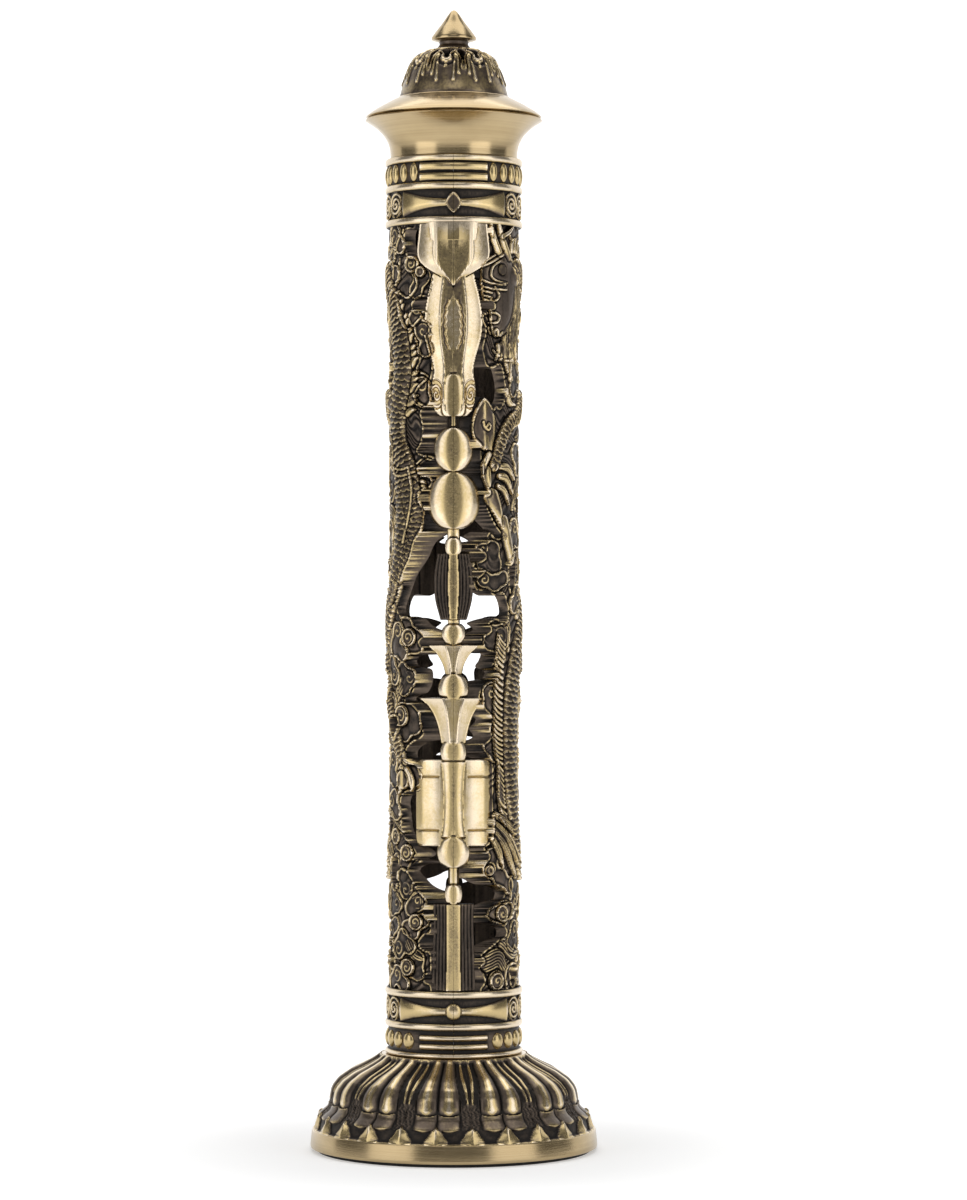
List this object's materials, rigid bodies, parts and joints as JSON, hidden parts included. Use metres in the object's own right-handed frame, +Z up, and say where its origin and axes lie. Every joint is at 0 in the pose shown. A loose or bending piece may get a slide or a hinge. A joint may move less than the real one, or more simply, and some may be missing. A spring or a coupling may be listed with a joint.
{
  "type": "tower incense burner",
  "caption": "Slim standing incense burner: a lotus foot with a stick holder, a pierced tube in two cast halves, a flared collar and a domed lift-off lid.",
  "frame": {"origin": "centre of the underside of the pad, on the surface that the burner stands on", "axes": "+Z up along the tube; the joint between the tube's halves faces -Y and +Y, and their flanks face +X and -X"},
  "size_m": [0.063, 0.063, 0.25],
  "materials": {
    "cast_bronze": "cast bronze with dark oxide in its recesses and rubbed bright ridges",
    "bright_bronze": "turned and brushed bronze",
    "brass": "plain turned brass",
    "steel": "plain zinc-plated steel",
    "felt": "thin black felt"
  },
  "bodies": {
    "base": {"felt_pad": "felt", "lotus_base": "cast_bronze", "stick_holder": "brass", "holder_screw": "steel"},
    "tube": {"tube_half_right": "cast_bronze", "tube_half_left": "cast_bronze", "lower_sleeve": "brass", "locating_pin_1": "steel", "locating_pin_2": "steel", "locating_pin_3": "steel", "locating_pin_4": "steel", "flared_collar": "bright_bronze"},
    "lid": {"lid_flange": "bright_bronze", "dome_lid": "cast_bronze", "finial": "bright_bronze", "finial_nut": "brass"}
  },
  "joints": [
    {"name": "tube_lift", "type": "slide", "parent": "base", "child": "tube", "axis": [0, 0, 1], "range_m": [0, 0.22]},
    {"name": "lid_lift", "type": "slide", "parent": "tube", "child": "lid", "axis": [0, 0, 1], "range_m": [0, 0.04]}
  ]
}
